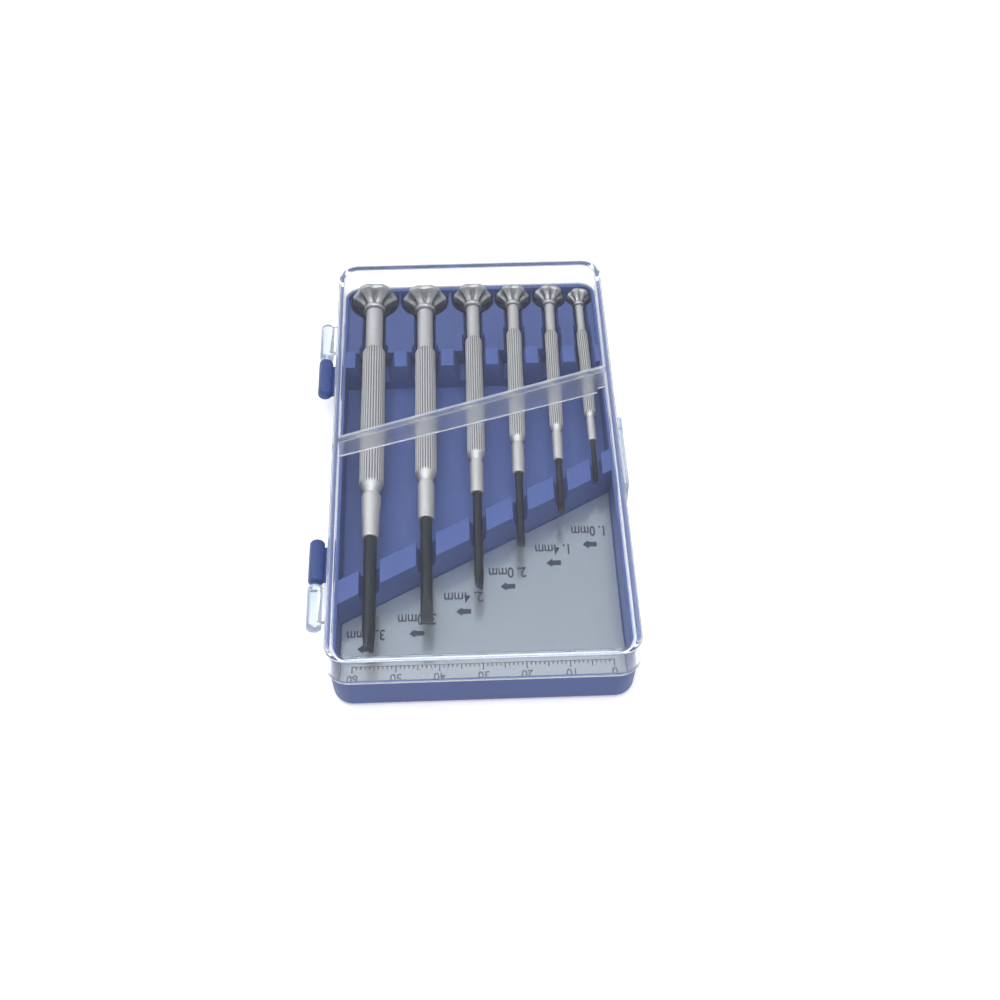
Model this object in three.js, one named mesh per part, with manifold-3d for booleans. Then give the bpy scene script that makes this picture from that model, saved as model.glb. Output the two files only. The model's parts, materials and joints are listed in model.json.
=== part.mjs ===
// A cased set of six watchmaker's screwdrivers, each with a swivel head that turns under the finger.
// Millimetres. +Z is up, +Y runs towards the screwdrivers' heads, +X away from the hinge.
// The origin is the middle of the tray's underside.
import * as THREE from "three";
import { mergeVertices } from "three/addons/utils/BufferGeometryUtils.js";
import Module from "manifold-3d";

const wasm = await Module();
wasm.setup();

// ---- Driving dimensions ----
const RIM_Z = 10.5; // the tray's rim, where the lid sits
const TOP_Z = 19.5; // the lid's flat top
const SHUT_GAP = 0.15; // between the tray's rim and the lid's edge
const CORNER_STEPS = 6; // facets in each rounded corner
const ROUND = 18; // sides of a turned piece, three to each side of a six-cornered head
const RUNNING_GAP = 0.3; // round a piece that turns
const FIXED_GAP = 0.05; // round a piece that is pressed in

const TRAY = { halfX: 34.6, halfY: 63.35, corner: 5.2, wellCorner: 2.6, draft: 0.5, wall: 1.4, floor: 2, edge: 1.4 };
const LID = { halfX: 35.2, halfY: 63.95, corner: 5.5, draft: 0.25, wall: 1.3, edge: 1.5 };

// The cradle inside the tray: a block with a round scoop under each head, a row of posts, and a
// slanting rib notched for the blades.
const CRADLE = { top: 9.6, postsY: [33.3, 39.2], postWidth: 3.2, slotFloor: 4.6, slotSlope: 0.25 };
const POSTS_X = [-18.9, -6.6, 5.1, 15.6, 25.3];
const END_POSTS_X = [-30.9, 32.2]; // inner edges of the half posts that stand against the side walls
const SCOOP_Y = 58.9; // where the ball end of each scoop has its centre
const SCOOP_CLEARANCE = 0.4;
const REST_RIB = { middleY: -19.8, slope: 0.572, width: 6.9, notchClearance: 0.8 };
const CORE = { wall: 1.3, depth: 8.2, farY: 50, ribDepth: 5.4, ribWidth: 3 }; // hollows under the thick parts

// The lid's hold-down rib crosses the handles, and its lower edge follows their falling tops.
const HOLD_RIB = { leftY: 0.75, slope: 0.3253, thick: 1.3, leftZ: 12.4, fall: 0.036, clearance: 0.25 };
const HOLD_RIB_STEP = { x: 31.6, z: 11.6 }; // the notch that clears the tray's rim

const HINGE = { x: -38.3, radius: 1.85, dome: 1.1, outerY: 49.2, innerY: 23.5, gap: 0.3 };
const HINGE_STUB = { radius: 0.85, length: 5 };
const LATCH = { halfY: 11, outerX: 36.8, innerX: 35.55, bottomZ: 5.4, topZ: 13.5 };
const CATCH = { halfY: 7, outerX: 34.85, z: [7, 8.2] };
const CARD = { thick: 0.35, inset: 0.3 };

// The screwdrivers, widest first. x is the axis at the head's end and at the tip; y values are
// the head's end, the start and end of the fluted grip, the end of the nose, and the blade's tip.
const SCREWDRIVERS = [
  { size: "3_8mm", headX: -26.1, tipX: -25.85, headR: 6.2, gripR: 3.05, noseR: [2.45, 1.97], bladeR: 1.55,
    headY: 61.2, gripY: [40.75, -5.6], noseY: -22.3, tipY: -54.1, headTurn: 12, bladeTurn: 62 },
  { size: "3_0mm", headX: -12.4, tipX: -12.65, headR: 5.9, gripR: 2.7, noseR: [2.05, 1.98], bladeR: 1.43,
    headY: 60.6, gripY: [40.3, -2.2], noseY: -17, tipY: -47.1, headTurn: 0, bladeTurn: 8 },
  { size: "2_4mm", headX: 0.6, tipX: -0.35, headR: 5.15, gripR: 2.25, noseR: [1.65, 1.62], bladeR: 1.12,
    headY: 61.4, gripY: [44.1, 3.6], noseY: -9.2, tipY: -37.5, headTurn: 0, bladeTurn: 58 },
  { size: "2_0mm", headX: 11.6, tipX: 9.95, headR: 4.45, gripR: 2.03, noseR: [1.56, 1.53], bladeR: 0.95,
    headY: 61.4, gripY: [46.7, 8.9], noseY: -3.1, tipY: -25.5, headTurn: 3, bladeTurn: 25 },
  { size: "1_4mm", headX: 21.5, tipX: 20.2, headR: 4.0, gripR: 1.72, noseR: [1.28, 1.24], bladeR: 0.82,
    headY: 61.4, gripY: [46.1, 12.3], noseY: 1, tipY: -15.7, headTurn: 14, bladeTurn: 40 },
  { size: "1_0mm", headX: 29.65, tipX: 29.5, headR: 3.2, gripR: 1.46, noseR: [1.05, 1.02], bladeR: 0.6,
    headY: 60.6, gripY: [46.3, 16.5], noseY: 7.2, tipY: -6.2, headTurn: 27, bladeTurn: 30 },
];
const NECK_TO_GRIP = 0.77; // radius of the plain neck against the grip's
const WAIST_TO_GRIP = 0.57;
const WAIST_RUN = 1.15; // length of the cone down to the waist, in grip radii
const COLLAR_TO_HEAD = 0.49; // radius of the head's collar against its corners
const PIN_TO_NECK = 0.42;
const PIN_DEPTH = 4; // how far the swivel pin is pressed into the neck
const RECESS_DEPTH = 0.9; // the well in the head's end that holds the pin's dome
const SOCKET_DEPTH = 5; // how far the blade is pressed into the nose
const GRIND_RUN = 4.8; // length of the blade's ground flats, in blade radii
const TIP_THICKNESS = 0.3; // thickness of the tip against the blade's diameter

// ---- Materials ----
const bluePlastic = new THREE.MeshStandardMaterial({ color: 0x5a689d, roughness: 0.42, metalness: 0 });
const clearPlastic = new THREE.MeshStandardMaterial({
  color: 0xdfe6f2, roughness: 0.06, metalness: 0, transparent: true, opacity: 0.3,
});
const silverCard = new THREE.MeshStandardMaterial({ color: 0xa9b0bb, roughness: 0.6, metalness: 0.1 });
const nickel = new THREE.MeshStandardMaterial({ color: 0xbdbab4, roughness: 0.34, metalness: 0.9 });
const steel = new THREE.MeshStandardMaterial({ color: 0xb9bcc0, roughness: 0.3, metalness: 1 });
const blackOxide = new THREE.MeshStandardMaterial({ color: 0x3c4447, roughness: 0.5, metalness: 0.6 });

// ---- Shape helpers ----

// A closed surface through rings of equally many points, each ring anticlockwise seen from the next.
function loft(rings) {
  const count = rings[0].length;
  const last = rings.length - 1;
  const middle = (ring) => ring.reduce((sum, p) => sum.add(p), new THREE.Vector3()).divideScalar(count);
  const points = [...rings.flat(), middle(rings[0]), middle(rings[last])];
  const [startCentre, endCentre] = [points.length - 2, points.length - 1];
  const index = [];
  for (let i = 0; i < count; i++) {
    const j = (i + 1) % count;
    for (let r = 0; r < last; r++) {
      const [low, high] = [r * count, (r + 1) * count];
      index.push(low + i, low + j, high + j, low + i, high + j, high + i);
    }
    index.push(startCentre, j, i, endCentre, last * count + i, last * count + j);
  }
  return new THREE.BufferGeometry().setFromPoints(points).setIndex(index);
}

// A geometry as a manifold-3d solid, for joining and cutting.
function solid(geometry) {
  const bare = new THREE.BufferGeometry();
  bare.setAttribute("position", geometry.getAttribute("position"));
  bare.setIndex(geometry.getIndex());
  const merged = mergeVertices(bare, 1e-4);
  return new wasm.Manifold(
    new wasm.Mesh({
      numProp: 3,
      vertProperties: new Float32Array(merged.getAttribute("position").array),
      triVerts: new Uint32Array(merged.getIndex().array),
    }),
  );
}

function geometryOf(manifold) {
  const mesh = manifold.getMesh();
  return new THREE.BufferGeometry()
    .setAttribute("position", new THREE.BufferAttribute(mesh.vertProperties, 3))
    .setIndex(new THREE.BufferAttribute(mesh.triVerts, 1));
}

const join = (solids) => solids.reduce((whole, piece) => whole.add(piece));
const cutAll = (whole, cutters) => cutters.reduce((left, cutter) => left.subtract(cutter), whole);

// A rounded rectangle at height z, anticlockwise from above.
function roundedRing(halfX, halfY, corner, z) {
  const ring = [];
  const corners = [[1, 1], [-1, 1], [-1, -1], [1, -1]];
  corners.forEach(([sideX, sideY], quarter) => {
    for (let step = 0; step <= CORNER_STEPS; step++) {
      const angle = ((quarter + step / CORNER_STEPS) * Math.PI) / 2;
      ring.push(new THREE.Vector3(
        sideX * (halfX - corner) + corner * Math.cos(angle),
        sideY * (halfY - corner) + corner * Math.sin(angle),
        z,
      ));
    }
  });
  return ring;
}

// One rounded rectangle of a drafted wall: its sides and corners pulled in by inset.
const insetRing = (shell, inset, z) =>
  roundedRing(shell.halfX - inset, shell.halfY - inset, Math.max(shell.corner - inset, 1), z);

function box([x0, x1], [y0, y1], [z0, z1]) {
  const shape = new THREE.BoxGeometry(x1 - x0, y1 - y0, z1 - z0);
  return shape.translate((x0 + x1) / 2, (y0 + y1) / 2, (z0 + z1) / 2);
}

// An outline in plan, given as [x, y] points, raised from z0 to z1.
function planPrism(outline, [z0, z1]) {
  const shape = new THREE.Shape(outline.map(([x, y]) => new THREE.Vector2(x, y)));
  const prism = new THREE.ExtrudeGeometry(shape, { depth: z1 - z0, bevelEnabled: false });
  return prism.translate(0, 0, z0);
}

// A cross-section in x and z, given as a Shape, run along y from y0 to y1.
function lengthwisePrism(shape, [y0, y1]) {
  const prism = new THREE.ExtrudeGeometry(shape, { depth: y1 - y0, bevelEnabled: false, curveSegments: 10 });
  return prism.rotateX(Math.PI / 2).translate(0, y1, 0);
}

// A piece turned about the y axis, from [radius, y] points in rising y.
const turned = (profile, sides = ROUND) =>
  new THREE.LatheGeometry(profile.map(([r, y]) => new THREE.Vector2(r, y)), sides);

// A slot open at the top: straight sides down to the axis height and a half-round bottom.
function roundSlot(x, z, radius, top) {
  const shape = new THREE.Shape();
  shape.moveTo(x + radius, top);
  shape.lineTo(x - radius, top);
  shape.lineTo(x - radius, z);
  shape.absarc(x, z, radius, Math.PI, 2 * Math.PI, false);
  shape.lineTo(x + radius, top);
  return shape;
}

// ---- What follows from the driving dimensions ----
const trayInner = { x: TRAY.halfX - TRAY.wall, y: TRAY.halfY - TRAY.wall };
const holdRibY = (x) => HOLD_RIB.leftY + HOLD_RIB.slope * (x + trayInner.x);
const holdRibZ = (x) => HOLD_RIB.leftZ - HOLD_RIB.fall * (x + trayInner.x + 0.8);
const restRibY = (x) => REST_RIB.middleY + REST_RIB.slope * x;

const screwdrivers = SCREWDRIVERS.map((d) => {
  const run = d.headY - d.tipY;
  const lean = (d.headX - d.tipX) / run; // sideways drift of the axis for each millimetre along y
  const axisX = (y) => d.tipX + lean * (y - d.tipY);
  const crossing = holdRibY(d.headX);
  const neckR = NECK_TO_GRIP * d.gripR;
  const headLength = 3 + 0.45 * d.headR;
  return {
    ...d,
    lean,
    axisX,
    axisZ: holdRibZ(axisX(crossing)) - HOLD_RIB.clearance - d.gripR,
    neckR,
    waistR: WAIST_TO_GRIP * d.gripR,
    waistY: d.gripY[1] - WAIST_RUN * d.gripR,
    pinR: PIN_TO_NECK * neckR,
    collarY: d.headY - headLength,
    neckY: d.headY - headLength - 0.2,
  };
});

// ---- Tray ----
function makeTray() {
  const foot = TRAY.draft;
  const outer = solid(loft([
    insetRing(TRAY, foot + TRAY.edge, 0),
    insetRing(TRAY, foot + 0.55 * TRAY.edge, 0.12 * TRAY.edge),
    insetRing(TRAY, foot + 0.16 * TRAY.edge, 0.5 * TRAY.edge),
    insetRing(TRAY, foot, TRAY.edge),
    insetRing(TRAY, 0, RIM_Z),
  ]));
  const wellRing = (z) => roundedRing(trayInner.x, trayInner.y, TRAY.wellCorner, z);
  const well = solid(loft([wellRing(TRAY.floor), wellRing(TOP_Z)]));
  const shell = outer.subtract(well);

  const [postsNear, postsFar] = CRADLE.postsY;
  const across = [-trayInner.x - 0.4, trayInner.x + 0.4];
  const inWell = (geometry) => solid(geometry).intersect(outer);
  const block = inWell(box(across, [postsNear, trayInner.y + 0.4], [1, CRADLE.top]));
  const posts = inWell(box(across, CRADLE.postsY, [1, RIM_Z]));
  const half = REST_RIB.width / 2;
  const [left, right] = across;
  const restRib = inWell(planPrism(
    [
      [left, restRibY(left) - half],
      [right, restRibY(right) - half],
      [right, restRibY(right) + half],
      [left, restRibY(left) + half],
    ],
    [1, RIM_Z],
  ));

  const edges = [END_POSTS_X[0], ...POSTS_X.flatMap((x) => [x - CRADLE.postWidth / 2, x + CRADLE.postWidth / 2]),
    END_POSTS_X[1]];
  const cutters = screwdrivers.flatMap((d, i) => {
    const [slotLeft, slotRight] = [edges[2 * i], edges[2 * i + 1]];
    const taper = CRADLE.slotSlope * (RIM_Z - CRADLE.slotFloor);
    const slot = new THREE.Shape([
      new THREE.Vector2(slotRight + CRADLE.slotSlope, RIM_Z + 1),
      new THREE.Vector2(slotLeft - CRADLE.slotSlope, RIM_Z + 1),
      new THREE.Vector2(slotLeft + taper, CRADLE.slotFloor),
      new THREE.Vector2(slotRight - taper, CRADLE.slotFloor),
    ]);
    const channelX = d.axisX((postsFar + SCOOP_Y) / 2);
    const channel = roundSlot(channelX, d.axisZ, d.gripR + 2 * RUNNING_GAP, RIM_Z + 1);
    const scoopR = d.headR + SCOOP_CLEARANCE;
    const scoopArc = Array.from({ length: 9 }, (_, k) => {
      const angle = ((k / 8 - 1) * Math.PI) / 2;
      return [k === 0 ? 0 : scoopR * Math.cos(angle), SCOOP_Y + scoopR * Math.sin(angle)];
    });
    const scoop = turned([...scoopArc, [scoopR, trayInner.y], [0, trayInner.y]]);
    const notch = roundSlot(d.axisX(restRibY(d.tipX)), d.axisZ, d.bladeR + REST_RIB.notchClearance, RIM_Z + 1);
    const crossing = restRibY(d.tipX);
    return [
      solid(lengthwisePrism(slot, [postsNear - 1, postsFar + 0.01])),
      solid(lengthwisePrism(channel, [postsFar - 0.5, SCOOP_Y])),
      solid(scoop.translate(d.axisX(SCOOP_Y), 0, d.axisZ)),
      solid(lengthwisePrism(notch, [crossing - REST_RIB.width, crossing + REST_RIB.width])),
    ];
  });

  // Hollows from below keep the block's and the rib's walls as thin as the rest.
  const coreEdges = screwdrivers.map((d) => [
    d.axisX(postsFar) - d.gripR - 2 * RUNNING_GAP - CORE.wall,
    d.axisX(postsFar) + d.gripR + 2 * RUNNING_GAP + CORE.wall,
  ]);
  const cores = POSTS_X.map((_, i) => [coreEdges[i][1], coreEdges[i + 1][0]])
    .map((span) => solid(box(span, [postsFar + CORE.wall, CORE.farY], [-1, CORE.depth])));
  const ribCoreLeft = -trayInner.x + CORE.wall;
  const halfCore = CORE.ribWidth / 2;
  const ribCore = solid(planPrism(
    [
      [ribCoreLeft, restRibY(ribCoreLeft) - halfCore],
      [-ribCoreLeft, restRibY(-ribCoreLeft) - halfCore],
      [-ribCoreLeft, restRibY(-ribCoreLeft) + halfCore],
      [ribCoreLeft, restRibY(ribCoreLeft) + halfCore],
    ],
    [-1, CORE.ribDepth],
  ));

  const cradle = cutAll(join([block, posts, restRib]), cutters);
  const catchRidge = solid(box([TRAY.halfX - 0.9, CATCH.outerX], [-CATCH.halfY, CATCH.halfY], CATCH.z));
  const withHinges = join([shell, cradle, catchRidge, ...[1, -1].map((side) => trayKnuckle(side))]);
  return geometryOf(cutAll(withHinges, [...cores, ribCore, ...[1, -1].map((side) => stubBore(side))]));
}

// ---- Hinge: at each end the lid's knuckle carries a stub that runs in the tray's knuckle ----
const middleY = (HINGE.outerY + HINGE.innerY) / 2;

function knuckle(side, [from, to]) {
  const r = HINGE.radius;
  const ends = side > 0 ? [from, to] : [-to, -from];
  const barrel = turned([
    [0, ends[0]],
    [0.6 * r, ends[0] + 0.2 * HINGE.dome],
    [0.9 * r, ends[0] + 0.55 * HINGE.dome],
    [r, ends[0] + HINGE.dome],
    [r, ends[1] - HINGE.dome],
    [0.9 * r, ends[1] - 0.55 * HINGE.dome],
    [0.6 * r, ends[1] - 0.2 * HINGE.dome],
    [0, ends[1]],
  ]);
  return solid(barrel.translate(HINGE.x, 0, RIM_Z));
}

function hingeArm(side, [from, to], xEnd, z) {
  const ends = side > 0 ? [from, to] : [-to, -from];
  return solid(box([HINGE.x + 0.6, xEnd], [ends[0] + 1.5, ends[1] - 1.5], z));
}

function trayKnuckle(side) {
  const span = [HINGE.innerY, middleY - HINGE.gap / 2];
  return knuckle(side, span).add(hingeArm(side, span, -TRAY.halfX + 0.7, [RIM_Z - 1.7, RIM_Z - 0.3]));
}

function lidKnuckle(side) {
  const span = [middleY + HINGE.gap / 2, HINGE.outerY];
  return knuckle(side, span)
    .add(hingeArm(side, span, -LID.halfX + 0.7, [RIM_Z + SHUT_GAP + 0.15, RIM_Z + 1.7]))
    .add(hingeStub(side, HINGE_STUB.radius, [middleY - HINGE_STUB.length, middleY + 2]));
}

function hingeStub(side, radius, [from, to]) {
  const ends = side > 0 ? [from, to] : [-to, -from];
  const stub = turned([[0, ends[0]], [radius, ends[0]], [radius, ends[1]], [0, ends[1]]]);
  return solid(stub.translate(HINGE.x, 0, RIM_Z));
}

const stubBore = (side) =>
  hingeStub(side, HINGE_STUB.radius + RUNNING_GAP, [middleY - HINGE_STUB.length - RUNNING_GAP, middleY]);

// ---- Lid ----
function makeLid() {
  const rim = RIM_Z + SHUT_GAP;
  const crown = TOP_Z - LID.edge;
  const outer = solid(loft([
    insetRing(LID, 0, rim),
    insetRing(LID, LID.draft, crown),
    insetRing(LID, LID.draft + 0.14 * LID.edge, crown + 0.5 * LID.edge),
    insetRing(LID, LID.draft + 0.5 * LID.edge, crown + 0.86 * LID.edge),
    insetRing(LID, LID.draft + LID.edge, TOP_Z),
  ]));
  const hollow = solid(loft([
    insetRing(LID, LID.wall, rim - 1),
    insetRing(LID, LID.wall + LID.draft, crown),
    insetRing(LID, LID.wall + LID.draft + 0.5, TOP_Z - LID.wall),
  ]));

  const left = -LID.halfX + LID.wall / 2;
  const ribDepthSide = new THREE.Shape([
    new THREE.Vector2(left, TOP_Z - 0.6),
    new THREE.Vector2(left, holdRibZ(left)),
    new THREE.Vector2(HOLD_RIB_STEP.x, holdRibZ(HOLD_RIB_STEP.x)),
    new THREE.Vector2(HOLD_RIB_STEP.x + 0.5, HOLD_RIB_STEP.z),
    new THREE.Vector2(-left, HOLD_RIB_STEP.z),
    new THREE.Vector2(-left, TOP_Z - 0.6),
  ]);
  const elevation = solid(lengthwisePrism(ribDepthSide, [-20, 50]));
  const ribPlan = solid(planPrism(
    [
      [left, holdRibY(left)],
      [-left, holdRibY(-left)],
      [-left, holdRibY(-left) + HOLD_RIB.thick],
      [left, holdRibY(left) + HOLD_RIB.thick],
    ],
    [0, TOP_Z],
  ));
  const holdRib = elevation.intersect(ribPlan);

  const yRange = [-LATCH.halfY, LATCH.halfY];
  const plate = solid(box([LATCH.innerX, LATCH.outerX], yRange, [LATCH.bottomZ, LATCH.topZ]));
  const root = solid(box([LID.halfX - 0.8, LATCH.innerX + 0.2], yRange, [rim + 0.1, LATCH.topZ]));
  const hook = solid(box(
    [CATCH.outerX + RUNNING_GAP, LATCH.innerX + 0.2],
    [-CATCH.halfY, CATCH.halfY],
    [LATCH.bottomZ, CATCH.z[0] - RUNNING_GAP],
  ));
  return geometryOf(join([
    outer.subtract(hollow), holdRib, plate, root, hook, ...[1, -1].map((side) => lidKnuckle(side)),
  ]));
}

// ---- Size card, on the tray's floor in front of the rest rib ----
function makeCard() {
  const edgeX = trayInner.x - CARD.inset;
  const nearY = -trayInner.y + CARD.inset;
  const corner = 4.2;
  const ribFace = (x) => restRibY(x) - REST_RIB.width / 2 - CARD.inset;
  return planPrism(
    [
      [-edgeX, nearY + corner],
      [-edgeX + corner, nearY],
      [edgeX - corner, nearY],
      [edgeX, nearY + corner],
      [edgeX, ribFace(edgeX)],
      [-edgeX, ribFace(-edgeX)],
    ],
    [TRAY.floor + FIXED_GAP, TRAY.floor + FIXED_GAP + CARD.thick],
  );
}

// ---- Screwdriver pieces, each about its own y axis ----
function makeHandle(d) {
  const boreR = d.bladeR + FIXED_GAP;
  const pinHoleR = d.pinR + FIXED_GAP;
  const socketY = d.noseY + SOCKET_DEPTH;
  const [noseTop, noseTip] = d.noseR;
  return turned([
    [0, socketY],
    [boreR, socketY],
    [boreR, d.noseY],
    [noseTip + 0.08, d.noseY],
    [noseTip, d.noseY + 0.6],
    [noseTop, d.waistY - 0.9],
    [0.88 * noseTop, d.waistY - 0.15],
    [d.waistR, d.waistY],
    [d.gripR, d.gripY[1]],
    [d.gripR, d.gripY[0] - 1.6 * (d.gripR - d.neckR)],
    [d.neckR, d.gripY[0]],
    [d.neckR, d.neckY],
    [pinHoleR, d.neckY],
    [pinHoleR, d.neckY - PIN_DEPTH],
    [0, d.neckY - PIN_DEPTH],
  ]);
}

// A round bar whose end is ground to two flats that close in towards the tip.
function makeBlade(d) {
  const backY = d.noseY + SOCKET_DEPTH - FIXED_GAP;
  const grindY = d.tipY + GRIND_RUN * d.bladeR;
  const ring = (y, halfThickness) =>
    Array.from({ length: ROUND }, (_, k) => {
      const angle = (2 * Math.PI * k) / ROUND;
      const rise = THREE.MathUtils.clamp(d.bladeR * Math.cos(angle), -halfThickness, halfThickness);
      return new THREE.Vector3(d.bladeR * Math.sin(angle), y, rise);
    });
  return loft([
    ring(d.tipY, TIP_THICKNESS * d.bladeR),
    ring(d.tipY + 0.25 * (grindY - d.tipY), 0.45 * d.bladeR),
    ring(grindY, d.bladeR),
    ring(backY, d.bladeR),
  ]);
}

// A six-cornered head flaring from a round collar, with a bore and a well for its pin.
function makeHead(d) {
  const length = d.headY - d.collarY;
  const collarR = COLLAR_TO_HEAD * d.headR;
  const ring = (share, cornerR, hexShare) =>
    Array.from({ length: ROUND }, (_, k) => {
      const angle = (2 * Math.PI * k) / ROUND;
      const fromCorner = ((angle + Math.PI / 6) % (Math.PI / 3)) - Math.PI / 6;
      const hexR = (cornerR * Math.cos(Math.PI / 6)) / Math.cos(Math.PI / 6 - Math.abs(fromCorner));
      const r = THREE.MathUtils.lerp(cornerR, hexR, hexShare);
      return new THREE.Vector3(r * Math.cos(angle), d.collarY + share * length, -r * Math.sin(angle));
    });
  const body = solid(loft([
    ring(0, 0.94 * collarR, 0),
    ring(0.07, collarR, 0),
    ring(0.16, 0.95 * collarR, 0),
    ring(0.36, 0.52 * d.headR, 0.4),
    ring(0.55, 0.68 * d.headR, 0.9),
    ring(0.7, 0.97 * d.headR, 1),
    ring(0.78, d.headR, 1),
    ring(0.94, 0.95 * d.headR, 1),
    ring(1, 0.86 * d.headR, 1),
  ]));
  const boreR = d.pinR + RUNNING_GAP;
  const wellR = 1.9 * d.pinR + RUNNING_GAP;
  const bore = solid(turned([
    [0, d.collarY - 1],
    [boreR, d.collarY - 1],
    [boreR, d.headY - RECESS_DEPTH],
    [wellR, d.headY - RECESS_DEPTH],
    [wellR, d.headY + 1],
    [0, d.headY + 1],
  ]));
  return geometryOf(body.subtract(bore));
}

// The swivel pin: pressed into the neck, with a dome that keeps the head on.
function makePin(d) {
  const domeR = 1.9 * d.pinR;
  const domeY = d.headY - RECESS_DEPTH + FIXED_GAP;
  return turned([
    [0, d.neckY - PIN_DEPTH + FIXED_GAP],
    [d.pinR, d.neckY - PIN_DEPTH + FIXED_GAP],
    [d.pinR, domeY],
    [domeR, domeY],
    [domeR, domeY + 0.25],
    [0.7 * domeR, domeY + 0.6],
    [0, domeY + 0.75],
  ]);
}

// ---- Assembly ----
const set = new THREE.Group();

function place(parent, name, geometry, material, turnDegrees = 0) {
  const mesh = new THREE.Mesh(geometry, material);
  mesh.name = name;
  mesh.rotation.y = THREE.MathUtils.degToRad(turnDegrees);
  parent.add(mesh);
}

place(set, "tray", makeTray(), bluePlastic);
place(set, "lid", makeLid(), clearPlastic);
place(set, "size_card", makeCard(), silverCard);

for (const d of screwdrivers) {
  const group = new THREE.Group();
  group.position.set(d.axisX(0), 0, d.axisZ);
  group.rotation.z = -Math.atan(d.lean);
  place(group, `handle_${d.size}`, makeHandle(d), nickel);
  place(group, `blade_${d.size}`, makeBlade(d), blackOxide, d.bladeTurn);
  place(group, `swivel_head_${d.size}`, makeHead(d), nickel, d.headTurn);
  place(group, `swivel_pin_${d.size}`, makePin(d), steel);
  set.add(group);
}

export default set;
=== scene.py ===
import json
import math

import bpy
import numpy as np
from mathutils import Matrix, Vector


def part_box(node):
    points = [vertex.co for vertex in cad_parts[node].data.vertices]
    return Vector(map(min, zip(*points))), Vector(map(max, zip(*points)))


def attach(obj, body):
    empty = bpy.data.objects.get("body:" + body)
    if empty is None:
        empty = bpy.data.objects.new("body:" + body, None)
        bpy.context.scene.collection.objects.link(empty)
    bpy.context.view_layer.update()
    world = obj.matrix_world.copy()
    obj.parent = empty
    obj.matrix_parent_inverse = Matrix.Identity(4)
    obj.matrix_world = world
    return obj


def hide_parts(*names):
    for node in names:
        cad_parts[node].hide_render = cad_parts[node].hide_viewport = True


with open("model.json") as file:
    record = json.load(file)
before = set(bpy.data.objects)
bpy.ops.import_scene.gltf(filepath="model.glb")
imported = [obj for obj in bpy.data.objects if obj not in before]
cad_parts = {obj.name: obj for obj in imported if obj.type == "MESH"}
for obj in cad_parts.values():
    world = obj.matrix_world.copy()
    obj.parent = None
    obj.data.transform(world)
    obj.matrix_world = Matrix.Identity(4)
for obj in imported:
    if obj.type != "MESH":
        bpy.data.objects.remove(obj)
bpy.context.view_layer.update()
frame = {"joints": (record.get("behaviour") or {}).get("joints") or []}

MM = 0.001


def span(node):
    """Lowest and highest corner of a node of the design, in millimetres."""
    low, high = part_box(node)
    return np.array(low) / MM, np.array(high) / MM


# ---- The design's own dimensions ----
RIM = 10.5  # height of the tray's rim
LID_TOP = span("lid")[1][2]
TRAY_HALF = np.array([34.6, span("tray")[1][1]])
TRAY_CORNER, TRAY_DRAFT, TRAY_WALL, TRAY_FLOOR, TRAY_EDGE = 5.2, 0.5, 1.4, 2.0, 1.0
WELL_CORNER = 2.6
LID_HALF = np.array([35.2, span("lid")[1][1]])
LID_CORNER, LID_DRAFT, LID_WALL, LID_EDGE = 5.5, 0.25, 1.3, 1.5
LID_RIM = RIM + 0.15
WELL_HALF = TRAY_HALF - TRAY_WALL
# How far a moulded part reaches into its neighbour, and two heights within the tray's floor: where its inner
# parts end, and where the sides of the posts and of the rest rib start.
BITE, BED, SIDE_FOOT = 0.3, 1.0, 1.5

BLOCK_TOP, BLOCK_NEAR = 9.6, 39.2  # the block with a scoop under each head
POST_ROW = (33.3, 39.25)
POSTS_X, POST_HALF = (-18.9, -6.6, 5.1, 15.6, 25.3), 1.6
END_POSTS_X = (-30.9, 32.2)
SLOT_FLOOR, SLOT_SLOPE = 4.6, 0.25
SCOOP_Y, SCOOP_CLEARANCE, CHANNEL_CLEARANCE, NOTCH_CLEARANCE = 58.9, 0.4, 0.6, 0.8
REST_MIDDLE, REST_SLOPE, REST_HALF = -19.8, 0.572, 3.45
HOLD_LEFT, HOLD_SLOPE, HOLD_THICK = 0.75, 0.3253, 1.3
HOLD_LEFT_Z, HOLD_FALL = 12.4, 0.036

HINGE_X, HINGE_R, HINGE_DOME = -38.3, 1.82, 1.1
LID_KNUCKLE, TRAY_KNUCKLE, STUB_R, STUB_END = (36.5, 49.2), (23.5, 36.2), 0.85, 31.35
# Each barrel's web: how much shorter than the barrel it is at each end, how far from the barrel's axis it
# starts, and how far into the wall it reaches.
WEB_SHORTER, WEB_FROM_AXIS, WEB_IN_WALL = 1.5, 0.6, 0.7
LATCH_HALF, LATCH_X, LATCH_Z = 11.0, (35.55, span("lid")[1][0]), (span("lid")[0][2], 13.5)
CATCH_HALF, CATCH_X, CATCH_Z = 7.0, (33.7, 34.85), (7.0, 8.2)
CARD_THICK, CARD_BOW, CARD_LIFT, INK_GAP = 0.3, 0.05, 0.02, 0.01

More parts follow.
